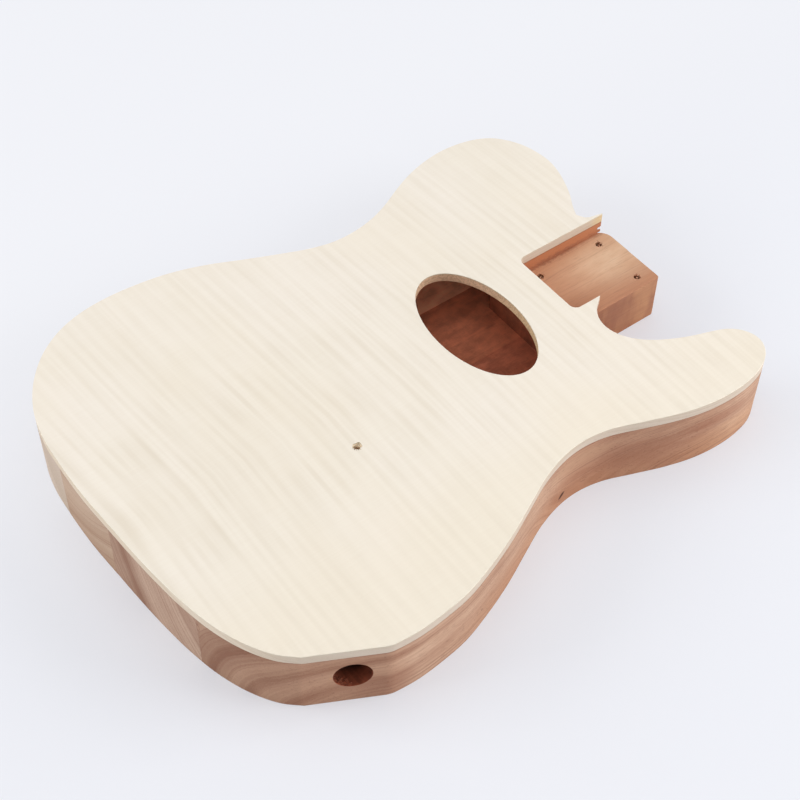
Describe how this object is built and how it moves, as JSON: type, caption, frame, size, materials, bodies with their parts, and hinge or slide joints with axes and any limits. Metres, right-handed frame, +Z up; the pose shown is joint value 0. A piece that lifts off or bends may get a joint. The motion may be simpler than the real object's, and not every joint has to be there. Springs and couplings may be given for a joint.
{
  "type": "electric guitar body",
  "caption": "Bare single-cutaway guitar body: glued hollow wooden core under a figured face, with an oval sound hole, a bolt-on neck pocket and a jack bore in a flat.",
  "frame": {"origin": "under the middle of the body's bounding box, on the plane of its back", "axes": "+X towards the neck, +Y towards the bass side, +Z up out of the face"},
  "size_m": [0.402, 0.315, 0.0506],
  "materials": {
    "figured_maple_bass": "sanded bare wood",
    "figured_maple_treble": "sanded bare wood",
    "pale_top_board": "sanded bare wood",
    "mahogany_light": "sanded bare wood",
    "mahogany_tan": "sanded bare wood",
    "mahogany_red": "sanded bare wood",
    "mahogany_dark": "sanded bare wood"
  },
  "bodies": {
    "root": {"flame_veneer_bass": "figured_maple_bass", "flame_veneer_treble": "figured_maple_treble", "top_board_bass": "pale_top_board", "top_board_treble": "pale_top_board", "core_board_bass_outer": "mahogany_light", "core_board_bass_inner": "mahogany_tan", "core_board_treble_inner": "mahogany_red", "core_board_treble_outer": "mahogany_dark"}
  },
  "joints": []
}
